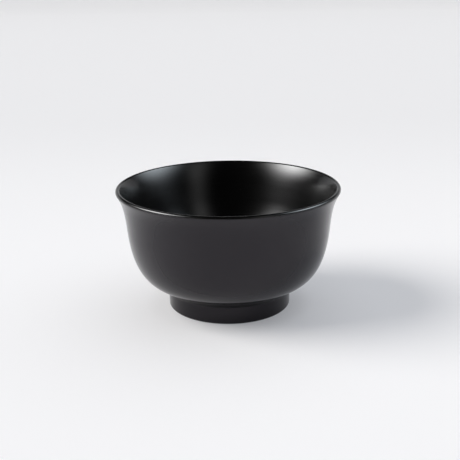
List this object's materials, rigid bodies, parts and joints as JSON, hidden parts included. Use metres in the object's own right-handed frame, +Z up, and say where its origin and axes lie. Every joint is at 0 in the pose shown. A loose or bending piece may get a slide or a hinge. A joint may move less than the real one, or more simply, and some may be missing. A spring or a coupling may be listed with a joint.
{
  "type": "lacquer soup bowl",
  "caption": "Round open soup bowl with a flared rounded lip, a full belly and a foot ring, in black lacquer: gloss inside and satin outside, on a turned wooden core.",
  "frame": {"origin": "centre of the foot ring's bottom, on the table", "axes": "+Z up along the bowl's axis; the bowl is the same all round, so X and Y are free"},
  "size_m": [0.12, 0.12, 0.0665],
  "materials": {
    "turned_wood": "turned, sealed with lacquer",
    "hemp_cloth": "plain weave, soaked in lacquer",
    "ground_coat": "matt, rubbed flat",
    "gloss_lacquer": "gloss black lacquer",
    "satin_lacquer": "satin black lacquer"
  },
  "bodies": {
    "root": {"wood_core": "turned_wood", "rim_cloth": "hemp_cloth", "floor_cloth": "hemp_cloth", "foot_cloth": "hemp_cloth", "inner_ground": "ground_coat", "outer_ground": "ground_coat", "inner_gloss_coat": "gloss_lacquer", "outer_satin_coat": "satin_lacquer", "base_coat": "satin_lacquer"}
  },
  "joints": []
}
